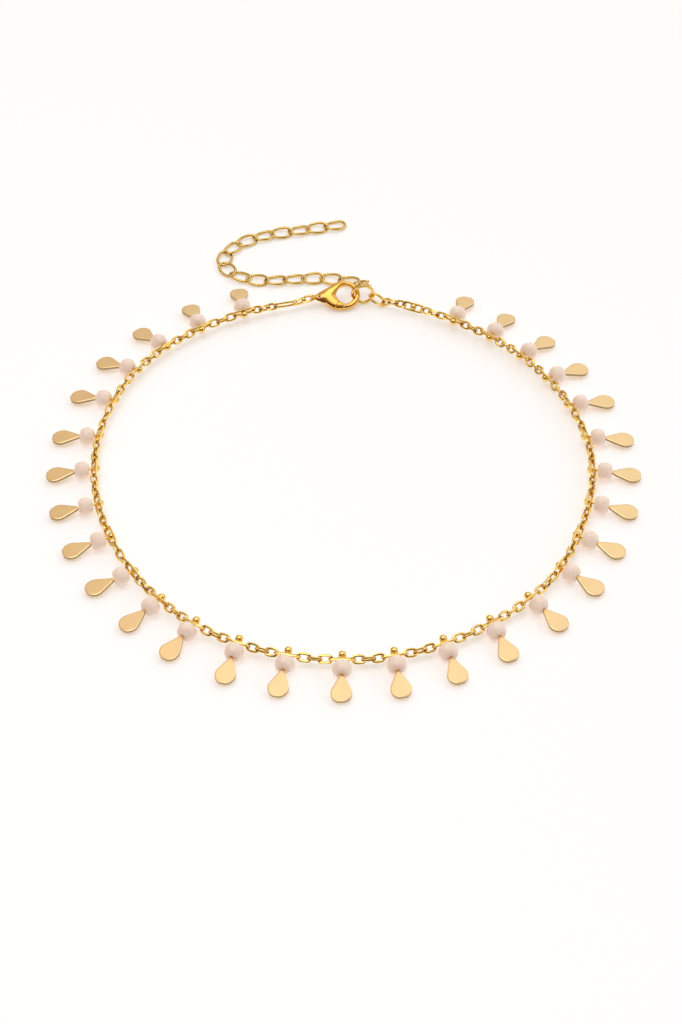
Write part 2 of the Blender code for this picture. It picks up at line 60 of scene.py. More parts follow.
# The loop's route and the pins' slope, in millimetres and degrees
DROP_PITCH = 7.71
BACK_SPAN = 37.2
START_ANGLE = 113.0
PIN_SLOPE = 8.0
CHAIN_SAG = 0.22
LOOP_SHARES = [
    (0, 0.975), (20, 0.965), (40, 0.965), (60, 0.975), (80, 1.010), (100, 1.008),
    (120, 1.015), (140, 1.020), (160, 0.995), (180, 0.975), (200, 0.970), (220, 0.985),
    (240, 1.010), (260, 1.025), (280, 1.030), (300, 1.015), (320, 1.005), (340, 0.980),
]

# Each drop: shift along the chain as a share of the pitch, swing in degrees,
# slide of the bead as a share of its length
DROPS = [
    (0.00, -13, 0.10), (0.05, -15, 0.05), (0.00, 0, 0.00), (-0.05, 5, 0.00), (0.00, 2, -0.04),
    (0.15, 1, -0.04), (0.15, 1, 0.00), (0.20, -4, 0.00), (0.20, -2, -0.04), (0.30, -9, 0.00),
    (0.25, 1, 0.00), (0.20, 2, 0.04), (0.20, 8, 0.06), (0.20, 1, 0.08), (0.25, 0, 0.10),
    (0.25, -3, 0.10), (0.25, -7, 0.08), (0.30, -12, 0.06), (0.30, -3, 0.00), (0.35, -6, -0.04),
    (0.30, -5, 0.00), (0.30, -2, -0.04), (0.25, -2, -0.04), (0.25, -10, -0.04), (0.30, -8, 0.00),
    (0.25, -3, 0.00), (0.15, 4, 0.00), (0.05, 12, 0.00), (0.00, 13, 0.04),
]

# The extender's route from the loop's centre, in steps of the route scale
ROUTE_SCALE = 3.2
EXTENDER_ROUTE = [
    (1.37, 14.18, 0.30), (0.42, 14.62, 0.16), (-0.60, 14.92, 0.14), (-2.30, 14.88, 0.14),
    (-3.85, 14.80, 0.14), (-5.00, 15.08, 0.14), (-5.85, 15.65, 0.14), (-6.20, 16.50, 0.14),
    (-5.80, 17.60, 0.14), (-4.85, 18.35, 0.14), (-3.50, 18.85, 0.14), (-2.00, 19.10, 0.14),
    (-0.60, 19.38, 0.14), (1.00, 19.62, 0.14),
]
EXTENDER_LEANS = [0, -8, 4, -5, -6, 6]
EXTENDER_LINKS = 18

DROP_NODES = ["drop_%02d" % (k + 1) for k in range(len(DROPS))]


def length_property(name, description, millimetres):
    """A length that a user can change."""
    return bpy.props.FloatProperty(
        name=name, description=description, default=millimetres * MM, min=0.0,
        precision=5, subtype="DISTANCE", unit="LENGTH",
    )


def colour_property(name, description, colour):
    """A colour that a user can change."""
    return bpy.props.FloatVectorProperty(
        name=name, description=description, default=colour, size=3, min=0.0, max=1.0, subtype="COLOR",
    )


class AnkletChainSettings(bpy.types.PropertyGroup):
    """Sizes of the cable chain and the extender."""
    wire: length_property("Wire", "Thickness of the chain's wire", 0.42)
    long_length: length_property("Long link", "Outer length of a long link", 4.2)
    long_width: length_property("Long link width", "Outer width of a long link", 1.6)
    short_length: length_property("Short link", "Outer length of a short link", 2.15)
    short_width: length_property("Short link width", "Outer width of a short link", 1.52)
    end_width: length_property("End link width", "Outer width of the link next to the end ring", 2.45)
    extender_pitch: length_property("Extender pitch", "Length that each extender link adds", 3.19)
    extender_width: length_property("Extender width", "Outer width of an extender link", 2.85)
    extender_wire: length_property("Extender wire", "Thickness of the extender's wire", 0.5)


class AnkletDropSettings(bpy.types.PropertyGroup):
    """Sizes of a drop."""
    ball: length_property("Ball", "Diameter of the pin's ball", 1.25)
    reach: length_property("Ball reach", "From the bead's centre to the ball's centre", 2.28)
    wire: length_property("Pin", "Diameter of the pin's wire", 0.45)
    bead: length_property("Bead", "Diameter of the bead", 3.0)
    bead_length: length_property("Bead length", "Length of the bead along its hole", 2.26)
    paddle_length: length_property("Paddle length", "From the neck to the round end", 4.6)
    paddle_width: length_property("Paddle width", "Across the round end", 3.1)
    paddle_neck: length_property("Paddle neck", "Across the end at the bead", 0.86)
    paddle_thickness: length_property("Paddle thickness", "Thickness of the paddle", 0.5)


class AnkletClaspSettings(bpy.types.PropertyGroup):
    """Sizes of the clasp and its rings."""
    hook: length_property("Hook", "Outer radius of the hook", 2.5)
    hole: length_property("Hook hole", "Radius of the hole in the hook", 1.56)
    body_thickness: length_property("Body thickness", "Thickness of the clasp at its back", 1.7)
    hook_thickness: length_property("Hook thickness", "Thickness of the hook", 1.1)
    lever_thickness: length_property("Lever thickness", "Thickness of the lever's arm", 0.66)
    end_ring: length_property("End ring", "Outer diameter of the end ring", 4.1)
    end_ring_wire: length_property("End ring wire", "Thickness of the end ring's wire", 0.55)
    tail_ring: length_property("Tail ring", "Outer diameter of the tail ring", 1.9)
    tail_ring_wire: length_property("Tail ring wire", "Thickness of the tail ring's wire", 0.36)


class AnkletColourSettings(bpy.types.PropertyGroup):
    """Colours of the finishes."""
    gold: colour_property("Gold", "Polished gold plating", (1.0, 0.69, 0.22))
    clasp: colour_property("Clasp gold", "The clasp's deeper gold", (0.90, 0.52, 0.12))
    satin: colour_property("Satin gold", "Faces of the paddles", (0.95, 0.69, 0.36))
    blush: colour_property("Blush", "Glass of the beads", (1.0, 0.79, 0.69))
    floor: colour_property("Floor", "The floor", (0.90, 0.92, 0.95))


# Finishes

def new_material(name):
    """A material with its Principled shader."""
    material = bpy.data.materials.new(name)
    material.use_nodes = True
    return material, material.node_tree, material.node_tree.nodes["Principled BSDF"]


def noise(tree, scale, detail, roughness=0.5):
    """A noise texture on the piece's own coordinates."""
    where = tree.nodes.new("ShaderNodeTexCoord")
    texture = tree.nodes.new("ShaderNodeTexNoise")
    texture.inputs["Scale"].default_value = scale
    texture.inputs["Detail"].default_value = detail
    texture.inputs["Roughness"].default_value = roughness
    tree.links.new(where.outputs["Object"], texture.inputs["Vector"])
    return texture


def ramp(tree, source, low, high, first, last):
    """A colour ramp between two colours."""
    made = tree.nodes.new("ShaderNodeValToRGB")
    made.color_ramp.elements[0].position = low
    made.color_ramp.elements[1].position = high
    made.color_ramp.elements[0].color = (*first, 1.0)
    made.color_ramp.elements[1].color = (*last, 1.0)
    tree.links.new(source, made.inputs["Fac"])
    return made


def spread(tree, source, low, high):
    """A value spread between two numbers."""
    made = tree.nodes.new("ShaderNodeMapRange")
    made.inputs["From Min"].default_value = 0.3
    made.inputs["From Max"].default_value = 0.7
    made.inputs["To Min"].default_value = low
    made.inputs["To Max"].default_value = high
    tree.links.new(source, made.inputs["Value"])
    return made.outputs["Result"]


def bump(tree, shader, height, strength, distance):
    """A bump from a height."""
    made = tree.nodes.new("ShaderNodeBump")
    made.inputs["Strength"].default_value = strength
    made.inputs["Distance"].default_value = distance
    tree.links.new(height, made.inputs["Height"])
    tree.links.new(made.outputs["Normal"], shader.inputs["Normal"])


def shade(colour, share):
    """A colour made darker or lighter."""
    return tuple(min(1.0, part * share) for part in colour)


def polished_gold(name, colour, roughness):
    """Polished plating with a slight change of tone and of polish, and painted shade that darkens it to
    brown in its crevices.
    """
    material, tree, shader = new_material(name)
    shader.inputs["Metallic"].default_value = 1.0
    tone = noise(tree, 900.0, 3.0)
    tint = ramp(tree, tone.outputs["Fac"], 0.3, 0.7, shade(colour, 0.93), shade(colour, 1.05))
    # Painted shade: the piece's own ambient occlusion darkens the colour to brown in crevices and where
    # links touch.
    crevice = tree.nodes.new("ShaderNodeAmbientOcclusion")
    crevice.only_local = True
    crevice.samples = 6
    crevice.inputs["Distance"].default_value = 0.0008
    crevice_shade = ramp(tree, crevice.outputs["AO"], 0.35, 0.85, (0.44, 0.27, 0.11), (1.0, 1.0, 1.0))
    shaded_tint = tree.nodes.new("ShaderNodeVectorMath")
    shaded_tint.operation = "MULTIPLY"
    tree.links.new(tint.outputs["Color"], shaded_tint.inputs[0])
    tree.links.new(crevice_shade.outputs["Color"], shaded_tint.inputs[1])
    tree.links.new(shaded_tint.outputs["Vector"], shader.inputs["Base Color"])
    polish = noise(tree, 2600.0, 2.0)
    uneven = spread(tree, polish.outputs["Fac"], roughness * 0.8, roughness * 1.3)
    tree.links.new(uneven, shader.inputs["Roughness"])
    bump(tree, shader, tone.outputs["Fac"], 0.12, 0.00002)
    return material


def satin_gold(name, colour):
    """Satin plating with a fine even grain."""
    material, tree, shader = new_material(name)
    shader.inputs["Metallic"].default_value = 1.0
    cloud = noise(tree, 420.0, 2.0)
    tint = ramp(tree, cloud.outputs["Fac"], 0.3, 0.7, shade(colour, 0.96), shade(colour, 1.03))
    tree.links.new(tint.outputs["Color"], shader.inputs["Base Color"])
    grain = noise(tree, 24000.0, 2.0, 0.7)
    tree.links.new(spread(tree, grain.outputs["Fac"], 0.34, 0.46), shader.inputs["Roughness"])
    bump(tree, shader, grain.outputs["Fac"], 0.10, 0.00001)
    return material


def blush_glass(name, colour):
    """Milky blush glass with soft clouds and a faint painted glow."""
    material, tree, shader = new_material(name)
    cloud = noise(tree, 520.0, 3.0)
    tint = ramp(tree, cloud.outputs["Fac"], 0.3, 0.7, shade(colour, 0.96), shade(colour, 1.04))
    tree.links.new(tint.outputs["Color"], shader.inputs["Base Color"])
    shader.inputs["Roughness"].default_value = 0.22
    shader.inputs["IOR"].default_value = 1.5
    # Painted light: the glass glows faintly in its own colour, which makes the beads brighter.
    shader.inputs["Emission Color"].default_value = (*colour, 1.0)
    shader.inputs["Emission Strength"].default_value = 0.10
    shader.inputs["Subsurface Weight"].default_value = 0.5
    shader.inputs["Subsurface Radius"].default_value = (1.0, 0.7, 0.6)
    shader.inputs["Subsurface Scale"].default_value = 0.0012
    fine = noise(tree, 3000.0, 2.0)
    bump(tree, shader, fine.outputs["Fac"], 0.05, 0.00002)
    return material


# Shapes

def finished(name, shape, materials, sharp=38.0):
    """Turn a bmesh in millimetres into a finished piece in the frame's place."""
    bmesh.ops.remove_doubles(shape, verts=shape.verts, dist=1e-5)
    bmesh.ops.recalc_face_normals(shape, faces=shape.faces)
    bmesh.ops.transform(shape, matrix=Matrix.Scale(MM, 4) @ Matrix.Translation(SHIFT), verts=shape.verts)
    mesh = bpy.data.meshes.new(name)
    shape.to_mesh(mesh)
    shape.free()
    for material in materials:
        mesh.materials.append(material)
    mesh.shade_smooth()
    mesh.set_sharp_from_angle(angle=math.radians(sharp))
    piece = bpy.data.objects.new(name, mesh)
    bpy.context.scene.collection.objects.link(piece)
    return piece


def stamp(shape, mesh, matrix):
    """Add a copy of a mesh in its own place."""
    known = len(shape.verts)
    shape.from_mesh(mesh)
    shape.verts.ensure_lookup_table()
    bmesh.ops.transform(shape, matrix=matrix, verts=shape.verts[known:])


def pattern(name, shape):
    """Keep a bmesh as a mesh to stamp."""
    bmesh.ops.recalc_face_normals(shape, faces=shape.faces)
    mesh = bpy.data.meshes.new(name)
    shape.to_mesh(mesh)
    shape.free()
    return mesh


def wire_ring(wire, steps, sides):
    """A ring of round wire with a mean radius of one, flat in X and Y."""
    shape = bmesh.new()
    across = Matrix.Translation((1, 0, 0)) @ Matrix.Rotation(math.pi / 2, 4, "X")
    made = bmesh.ops.create_circle(shape, cap_ends=False, segments=sides, radius=wire / 2, matrix=across)
    edges = list({edge for vert in made["verts"] for edge in vert.link_edges})
    bmesh.ops.spin(
        shape, geom=made["verts"] + edges, cent=(0, 0, 0), axis=(0, 0, 1), angle=2 * math.pi,
        steps=steps, use_merge=True,
    )
    bmesh.ops.remove_doubles(shape, verts=shape.verts, dist=1e-5)
    return shape


def lay_along(shape, line):
    """Move a wire ring's wire onto a closed flat line, given as a function of the turn."""
    for vert in shape.verts:
        turn = math.atan2(vert.co.y, vert.co.x)
        out = math.hypot(vert.co.x, vert.co.y) - 1
        here = Vector((*line(turn), 0))
        ahead = (Vector((*line(turn + 0.02), 0)) - Vector((*line(turn - 0.02), 0))).normalized()
        vert.co = here + Vector((ahead.y, -ahead.x, 0)) * out + Vector((0, 0, vert.co.z))
    return shape


def link_line(length, width, wire, straight=2.6):
    """The middle line of a link with straight sides and round ends."""
    bend = (width - wire) / 2
    run = (length - wire) / 2 - bend

    def line(turn):
        share = max(-1.0, min(1.0, straight * math.cos(turn)))
        return run * share + bend * math.cos(turn), bend * math.sin(turn)

    return line


def oval_line(length, width, wire):
    """The middle line of an oval link."""
    def line(turn):
        x = math.copysign(abs(math.cos(turn)) ** 0.86, math.cos(turn))
        return (length - wire) / 2 * x, (width - wire) / 2 * math.sin(turn)

    return line


def link_pattern(name, length, width, wire, steps=24, sides=8):
    """A flat link to stamp."""
    return pattern(name, lay_along(wire_ring(wire, steps, sides), link_line(length, width, wire)))


def between(start, end, side, length, wire):
    """The place of a link that hooks at two points, with its width along the side direction."""
    along = (end - start).normalized()
    across = (side - along * side.dot(along)).normalized()
    high = along.cross(across)
    turn = Matrix((along, across, high)).transposed().to_4x4()
    stretch = ((end - start).length + 2 * wire) / length
    return Matrix.Translation((start + end) / 2) @ turn @ Matrix.Scale(stretch, 4, (1, 0, 0))


# The route

def spline_value(a, b, c, d, u):
    """A smooth value between b and c, at the share u of the way."""
    bend = 2 * a - 5 * b + 4 * c - d
    turn = 3 * b - a - 3 * c + d
    return 0.5 * (2 * b + (c - a) * u + bend * u ** 2 + turn * u ** 3)


def loop_share(angle):
    """The loop's radius at an angle in degrees, as a share of its mean radius."""
    step = 360 / len(LOOP_SHARES)
    row = int(angle % 360 // step)
    u = angle % 360 / step - row
    return spline_value(*(LOOP_SHARES[(row + k) % len(LOOP_SHARES)][1] for k in (-1, 0, 1, 2)), u)


def unit_point(angle):
    """A point of the loop with a mean radius of one."""
    share = loop_share(angle)
    return Vector((share * math.cos(math.radians(angle)), share * math.sin(math.radians(angle))))


ROUTE_STEPS = 720
ROUTE_ANGLES = [START_ANGLE + 360 * k / ROUTE_STEPS for k in range(ROUTE_STEPS + 1)]
ROUTE_LENGTHS = [0.0]
for before, after in zip(ROUTE_ANGLES, ROUTE_ANGLES[1:]):
    ROUTE_LENGTHS.append(ROUTE_LENGTHS[-1] + (unit_point(after) - unit_point(before)).length)
LOOP_RADIUS = ((len(DROPS) - 1) * DROP_PITCH + BACK_SPAN) / ROUTE_LENGTHS[-1]


def route_point(length):
    """A point of the chain's middle line, seen from above."""
    target = (length / LOOP_RADIUS) % ROUTE_LENGTHS[-1]
    middles = [(low + high) / 2 for low, high in zip(ROUTE_LENGTHS, ROUTE_LENGTHS[1:])]
    k = min(range(ROUTE_STEPS), key=lambda row: abs(middles[row] - target))
    part = (target - ROUTE_LENGTHS[k]) / (ROUTE_LENGTHS[k + 1] - ROUTE_LENGTHS[k])
    return LOOP_RADIUS * unit_point(ROUTE_ANGLES[k] + part * 360 / ROUTE_STEPS)


def route_outward(length):
    """The direction that points out of the loop."""
    ahead = route_point(length + 0.5) - route_point(length - 0.5)
    return Vector((ahead.y, -ahead.x)).normalized()


BEAD_SIDES = 10
FIT_GAP = 0.06
BEAD_HEIGHT = 1.5 * math.cos(math.pi / BEAD_SIDES)
BEAD_FACE = 1.13
CHAIN_OFFSET = BEAD_FACE + FIT_GAP * 1.5 + 0.5
CHAIN_HEIGHT = BEAD_HEIGHT + CHAIN_OFFSET * math.tan(math.radians(PIN_SLOPE))


def drop_length(number):
    """Where a drop sits along the chain, counted from the first one."""
    return (number + DROPS[number][0]) * DROP_PITCH


def drop_frame(number):
    """The frame of a drop: bead's centre, +X outwards, +Z up."""
    length = drop_length(number)
    outward = route_outward(length)
    heading = math.atan2(outward.y, outward.x) + math.radians(DROPS[number][1])
    centre = route_point(length) + CHAIN_OFFSET * Vector((math.cos(heading), math.sin(heading)))
    return Matrix.Translation((centre.x, centre.y, BEAD_HEIGHT)) @ Matrix.Rotation(heading, 4, "Z")


def pin_frame(number):
    """The frame of a drop's pin: it slopes down outwards and slides through the bead."""
    slope = Matrix.Rotation(math.radians(PIN_SLOPE), 4, "Y")
    return drop_frame(number) @ slope @ Matrix.Translation((-DROPS[number][2] * BEAD_FACE * 2, 0, 0))


def chain_point(length):
    """A point of the chain's middle line, high at the drops and lower between them."""
    flat = route_point(length)
    away = min(min(abs(drop_length(k) - length) for k in range(len(DROPS))) / DROP_PITCH, 0.5)
    return Vector((flat.x, flat.y, CHAIN_HEIGHT - CHAIN_SAG * (1 - math.cos(2 * math.pi * away)) / 2))


# Places of the clasp and the rings

HOOK_RADIUS = 2.5
HOLE_RADIUS = 1.77
TAIL_DISTANCE = 4.25
# The rounded end of the clasp's tail and the eye in it
TAIL_END_RADIUS = 0.66
EYE_RADIUS = 0.36
CLASP_TILT = math.radians(30.0)
CLASP_X = 1.0
CLASP_CENTRE = Vector((
    CLASP_X, LOOP_RADIUS * loop_share(90) + 0.6,
    HOOK_RADIUS * math.sin(CLASP_TILT) + 0.55 * math.cos(CLASP_TILT) + FIT_GAP,
))
CLASP_FRAME = Matrix.Translation(CLASP_CENTRE) @ Matrix.Rotation(math.radians(5.0), 4, "Z") \
    @ Matrix.Rotation(CLASP_TILT, 4, "X")
CLASP_ALONG = (CLASP_FRAME.to_3x3() @ Vector((1, 0, 0))).normalized()
CLASP_NORMAL = (CLASP_FRAME.to_3x3() @ Vector((0, 0, 1))).normalized()
# The lever's pin, the lever's round end about it, and how far the lever's tip reaches from it
PIVOT = Vector((-3.15, -0.35, 0))
PIN_RADIUS = 0.2
LEVER_END_RADIUS = 0.40
GATE_REACH = 3.6
# How far forward the hole sits in the hook, and how far the end ring sits from its place in the frame
HOLE_SHIFT = 0.3
RING_SHIFT = Vector((0.42, -0.25, 0))
# Outer and mean radius of the rings, and half the thickness of their wire and of the chain's
END_RING_RADIUS = 2.05
END_RING_MEAN = 1.775
END_RING_HALF_WIRE = 0.275
END_RING_CENTRE = Vector((
    CLASP_X + HOLE_RADIUS + END_RING_RADIUS - 0.55 - FIT_GAP * 8, CLASP_CENTRE.y + FIT_GAP, END_RING_RADIUS,
))
TAIL_RING_MEAN = 0.77
TAIL_RING_HALF_WIRE = 0.18
CHAIN_HALF_WIRE = 0.21
TAIL_RING_CENTRE = CLASP_FRAME @ Vector((-TAIL_DISTANCE, 0, 0)) - CLASP_ALONG * TAIL_RING_MEAN * 0.9
# The angle at which the extender hangs on the end ring, where the end link meets the chain, and the
# end link's play on the ring
RING_TOP_ANGLE = 92
END_LINK_HOOK = Vector((7.6, 40.65, 0.5))
END_LINK_PLAY = 0.04

ring_low, ring_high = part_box("end_ring")
SHIFT = (ring_low + ring_high) / 2 / MM - END_RING_CENTRE


# Pieces

def jitter(number, size):
    """A small turn that differs from link to link."""
    return size * math.sin(number * 12.9898 + 4.1)


def bead_pattern(diameter, length):
    """A faceted bead with a hole along X and softened edges."""
    shape = bmesh.new()
    radius = diameter / 2
    half = length / 2
    hole = 0.32
    profile = [
        (-half + 0.5, hole), (-half, hole), (-half, radius * 0.62), (-half * 0.72, radius * 0.86),
        (-half * 0.26, radius), (half * 0.26, radius), (half * 0.72, radius * 0.86), (half, radius * 0.62),
        (half, hole), (half - 0.5, hole),
    ]
    start = Matrix.Rotation(math.pi / BEAD_SIDES, 4, "X")
    verts = [shape.verts.new(start @ Vector((along, 0, out))) for along, out in profile]
    edges = [shape.edges.new(pair) for pair in zip(verts, verts[1:] + verts[:1])]
    bmesh.ops.spin(
        shape, geom=verts + edges, cent=(0, 0, 0), axis=(1, 0, 0), angle=2 * math.pi,
        steps=BEAD_SIDES, use_merge=True,
    )
    bmesh.ops.remove_doubles(shape, verts=shape.verts, dist=1e-5)
    bmesh.ops.recalc_face_normals(shape, faces=shape.faces)
    outer = [
        edge for edge in shape.edges
        if min(math.hypot(vert.co.y, vert.co.z) for vert in edge.verts) > radius * 0.5
    ]
    bmesh.ops.bevel(
        shape, geom=outer, offset=0.06, segments=2, profile=0.5, affect="EDGES", material=-1,
        clamp_overlap=True,
    )
    return pattern("bead_pattern", shape)


def teardrop_line(big, small, distance):
    """The outline of a round end at the origin drawn out to a small one on the -X side."""
    contact = math.acos((small - big) / distance)

    def line(turn):
        turn = (turn + math.pi) % (2 * math.pi) - math.pi
        if abs(turn) <= contact:
            return big * math.cos(turn), big * math.sin(turn)
        part = (abs(turn) - contact) / (math.pi - contact)
        side = math.copysign(1, turn)
        if part < 0.5:
            share = part * 2
            start = Vector((big * math.cos(contact), big * math.sin(contact)))
            end = Vector((-distance + small * math.cos(contact), small * math.sin(contact)))
            at = start.lerp(end, share)
        else:
            share = (part - 0.5) * 2
            angle = contact + (math.pi - contact) * share
            at = Vector((-distance + small * math.cos(angle), small * math.sin(angle)))
        return at.x, side * at.y

    return line


# A face of a paddle is part of its sheared edge where its normal's height is under this
SHEARED_BELOW = 0.3


def paddle_pattern(length, width, neck, thickness):
    """A flat teardrop with a softened rim and a small flat at its round end."""
    shape = bmesh.new()
    made = bmesh.ops.create_circle(shape, cap_ends=True, segments=64, radius=1.0)
    line = teardrop_line(width / 2, neck / 2, length - width / 2 - neck / 2)
    for vert in made["verts"]:
        x, y = line(math.atan2(vert.co.y, vert.co.x))
        vert.co = Vector((min(x, width / 2 - 0.07), y, -thickness / 2))
    bmesh.ops.remove_doubles(shape, verts=shape.verts, dist=1e-4)
    raised = bmesh.ops.extrude_face_region(shape, geom=list(shape.faces))
    tops = [part for part in raised["geom"] if isinstance(part, bmesh.types.BMVert)]
    bmesh.ops.translate(shape, verts=tops, vec=(0, 0, thickness))
    bmesh.ops.recalc_face_normals(shape, faces=shape.faces)
    flats = [face for face in shape.faces if abs(face.normal.z) > 0.99]
    band = bmesh.ops.inset_individual(shape, faces=flats, thickness=0.15, use_even_offset=True)
    for vert in {vert for face in band["faces"] for vert in face.verts}:
        if any(abs(face.normal.z) < SHEARED_BELOW for face in vert.link_faces):
            vert.co.z -= math.copysign(0.06, vert.co.z)
    bmesh.ops.recalc_face_normals(shape, faces=shape.faces)
    for face in shape.faces:
        across = abs(face.normal.z)
        face.material_index = 1 if across > 0.999 else 2 if across < SHEARED_BELOW else 0
    bmesh.ops.translate(shape, verts=shape.verts, vec=(length - width / 2, 0, 0))
    return pattern("paddle_pattern", shape)


def pin_pattern(drop):
    """The pin's ball and wire along X."""
    shape = bmesh.new()
    ball = drop.ball / MM
    reach = drop.reach / MM
    turn = Matrix.Translation((-reach, 0, 0)) @ Matrix.Rotation(math.pi / 2, 4, "Y")
    bmesh.ops.create_uvsphere(shape, u_segments=24, v_segments=14, radius=ball / 2, matrix=turn)
    end = BEAD_FACE + 0.5
    middle = Matrix.Translation(((end - reach) / 2, 0, 0)) @ Matrix.Rotation(math.pi / 2, 4, "Y")
    bmesh.ops.create_cone(
        shape, cap_ends=True, segments=14, radius1=drop.wire / MM / 2, radius2=drop.wire / MM / 2,
        depth=end + reach, matrix=middle,
    )
    return pattern("pin_pattern", shape)


def chain_joints():
    """Where each link of the main chain hooks at its two ends, as places or lengths, and its kind."""
    settings = bpy.context.scene.anklet_chain
    wire = settings.wire / MM
    half = settings.long_length / MM / 2 - wire
    short = settings.short_length / MM - 2 * wire
    left_hook = TAIL_RING_CENTRE - CLASP_ALONG * (TAIL_RING_MEAN - TAIL_RING_HALF_WIRE - CHAIN_HALF_WIRE)
    right_wire = END_RING_CENTRE + RING_SHIFT + END_RING_MEAN * Vector((0.94, 0, -0.34))
    rows = []

    def part_way(start, end, k, count):
        if isinstance(start, Vector):
            return start.lerp(end, k / count)
        return start + (end - start) * k / count

    def add(start, end, kinds):
        count = len(kinds)
        for k, kind in enumerate(kinds):
            rows.append((part_way(start, end, k, count), part_way(start, end, k + 1, count), kind))

    first = drop_length(0) - half
    blank = first - 3 * short
    blank_end = blank - 2 * half
    left_link = chain_point(blank_end)
    add(left_hook, left_link, ["flat", "standing"])
    add(blank_end, blank, ["blank"])
    add(blank, first, ["flat", "standing", "flat"])
    for k in range(len(DROPS)):
        here = drop_length(k)
        add(here - half, here + half, ["long"])
        if k + 1 < len(DROPS):
            add(here + half, drop_length(k + 1) - half, ["flat", "standing", "flat"])
    last = drop_length(len(DROPS) - 1) + half
    nipped = last + 3 * short * 1.1
    nipped_end = nipped + 2 * half
    add(last, nipped, ["flat", "standing", "flat"])
    add(nipped, nipped_end, ["nipped"])
    tail = nipped_end + 2 * short * 1.05
    add(nipped_end, tail, ["flat", "standing"])
    end = right_wire + (right_wire - END_LINK_HOOK).normalized() * (END_RING_HALF_WIRE + END_LINK_PLAY)
    rows.append((chain_point(tail), END_LINK_HOOK, "flat"))
    rows.append((END_LINK_HOOK, end, "end"))
    return rows


# The links' lean in degrees: at the front, what the sides add, what the back takes off again, and how
# much less the flat short links lean than the others
FRONT_LEAN = 48
SIDE_LEAN = 84
BACK_LEAN = 24
CROSS_LEAN = 84
# The end link's length, its wire as a share of the other links' wire, and the radius of the ball in
# the nipped link
END_LINK_LENGTH = 2.8
END_LINK_WIRE = 1.12
NIPPED_BALL_RADIUS = 0.56


class ANKLET_OT_main_chain(bpy.types.Operator):
    """Make the cable chain of long and short links"""
    bl_idname = "anklet.main_chain"
    bl_label = "Main chain"

    def execute(self, context):
        settings = context.scene.anklet_chain
        wire = settings.wire / MM
        long_length = settings.long_length / MM
        short_length = settings.short_length / MM
        end_wire = wire * END_LINK_WIRE
        long_link = link_pattern("long_link", long_length, settings.long_width / MM, wire, 28)
        short_link = link_pattern("short_link", short_length, settings.short_width / MM, wire)
        end_link = link_pattern("end_link", END_LINK_LENGTH, settings.end_width / MM, end_wire, 28)
        gold = polished_gold("chain_gold", tuple(context.scene.anklet_colours.gold), 0.17)
        ball = bmesh.new()
        bmesh.ops.create_uvsphere(ball, u_segments=20, v_segments=12, radius=NIPPED_BALL_RADIUS)
        ball = pattern("nipped_ball", ball)
        shape = bmesh.new()
        for number, (start, end, kind) in enumerate(chain_joints()):
            if isinstance(start, Vector):
                a, b = start, end
                out = Vector((0, 1, 0))
            else:
                a, b = chain_point(start), chain_point(end)
                flat = route_outward((start + end) / 2)
                out = Vector((flat.x, flat.y, 0))
            front = max(0.0, min(1.0, -out.y * 2.6 - 1.1))
            if not isinstance(start, Vector):
                over = (1 - front) * (1.0 if kind == "long" else 0.5)
                a, b = (spot - out * 0.2 * (1 - front) + Vector((0, 0, 0.3 * over)) for spot in (a, b))
            behind = max(0.0, min(1.0, out.y * 2.2 - 1.0))
            lean = FRONT_LEAN + SIDE_LEAN * (1 - front) - BACK_LEAN * behind
            roll = math.radians({
                "flat": lean - CROSS_LEAN + jitter(number, 9),
                "standing": lean + 20 * front + jitter(number, 9),
                "long": lean + jitter(number, 5), "blank": 112, "nipped": 40, "end": 8,
            }[kind])
            side = out * math.cos(roll) + Vector((0, 0, 1)) * math.sin(roll)
            if kind in ("long", "blank", "nipped"):
                stamp(shape, long_link, between(a, b, side, long_length, wire))
            elif kind == "end":
                stamp(shape, end_link, between(a, b, side, END_LINK_LENGTH, end_wire))
            else:
                stamp(shape, short_link, between(a, b, side, short_length, wire))
            if kind == "nipped":
                stamp(shape, ball, Matrix.Translation((a + b) / 2 + Vector((0, 0, 0.05))))
        piece = finished("main_chain_links", shape, [gold])
        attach(piece, "anklet")
        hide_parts("main_chain_left", "main_chain_right")
        return {"FINISHED"}


class ANKLET_OT_beads(bpy.types.Operator):
    """Make the faceted blush beads"""
    bl_idname = "anklet.beads"
    bl_label = "Beads"

    def execute(self, context):
        drop = context.scene.anklet_drop
        bead = bead_pattern(drop.bead / MM, drop.bead_length / MM)
        shape = bmesh.new()
        for number in range(len(DROPS)):
            stamp(shape, bead, drop_frame(number))
        glass = blush_glass("blush_glass", tuple(context.scene.anklet_colours.blush))
        piece = finished("beads", shape, [glass], 12.0)
        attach(piece, "anklet")
        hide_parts(*DROP_NODES)
        return {"FINISHED"}


